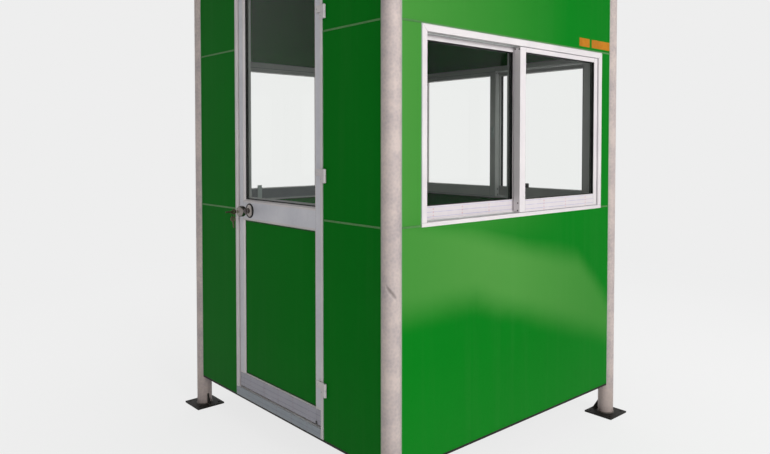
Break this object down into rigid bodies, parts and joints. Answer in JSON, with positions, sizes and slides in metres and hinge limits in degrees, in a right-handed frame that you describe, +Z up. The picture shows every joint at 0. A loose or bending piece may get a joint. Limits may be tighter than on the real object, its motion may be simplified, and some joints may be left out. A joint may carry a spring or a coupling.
{
  "type": "security guard booth",
  "caption": "Small square guard booth on tube posts: green composite wall panels, white sliding windows on three sides, a glazed hinged door and a flat overhanging roof.",
  "frame": {"origin": "centre of the footprint at ground level", "axes": "+Z up; the door wall faces -Y, the window wall beside it faces +X"},
  "size_m": [2.205, 2.205, 2.52],
  "materials": {
    "wall_panel": "gloss green coated aluminium composite sheet",
    "joint_strip": "mill aluminium extrusion",
    "post_tube": "drawn tube, dull grey",
    "base_steel": "dark primer over plate steel",
    "floor_board": "grey vinyl faced board",
    "white_profile": "white extruded profile, satin",
    "window_glass": "clear float glass",
    "knob_steel": "turned stainless steel",
    "roof_panel": "off-white coated sheet",
    "roof_fascia": "gloss green coated aluminium composite sheet"
  },
  "bodies": {
    "booth": {"post_front_right": "post_tube", "base_plate_front_right": "base_steel", "post_front_left": "post_tube", "base_plate_front_left": "base_steel", "post_back_right": "post_tube", "base_plate_back_right": "base_steel", "post_back_left": "post_tube", "base_plate_back_left": "base_steel", "floor_frame": "base_steel", "floor_board": "floor_board", "right_wall_lower": "wall_panel", "right_wall_beside_window": "wall_panel", "right_wall_upper": "wall_panel", "right_window_frame": "white_profile", "right_window_sashes": "white_profile", "right_window_glass": "window_glass", "left_wall_lower": "wall_panel", "left_wall_beside_window": "wall_panel", "left_wall_upper": "wall_panel", "left_window_frame": "white_profile", "left_window_sashes": "white_profile", "left_window_glass": "window_glass", "back_wall_lower": "wall_panel", "back_wall_beside_window": "wall_panel", "back_wall_upper": "wall_panel", "back_window_frame": "white_profile", "back_window_sashes": "white_profile", "back_window_glass": "window_glass", "front_wall_left": "wall_panel", "front_wall_right": "wall_panel", "front_wall_over_door": "wall_panel", "joint_strips": "joint_strip", "door_frame": "white_profile", "door_threshold": "white_profile", "top_rails": "wall_panel", "roof_panel": "roof_panel", "roof_fascia": "roof_fascia", "door_hinges_fixed": "white_profile"},
    "door": {"door_leaf": "white_profile", "door_glass": "window_glass", "door_lower_panel": "wall_panel", "door_knob_roses": "knob_steel", "door_hinges_moving": "white_profile"},
    "knob": {"door_knob": "knob_steel"}
  },
  "joints": [
    {"name": "door_hinge", "type": "hinge", "parent": "booth", "child": "door", "pos_m": [0.378, -0.7805, 1.2], "axis": [0, 0, 1], "range_deg": [0, 100]},
    {"name": "knob_turn", "type": "hinge", "parent": "door", "child": "knob", "pos_m": [-0.237, -0.7665, 1.075], "axis": [0, -1, 0], "range_deg": [-60, 60]}
  ]
}
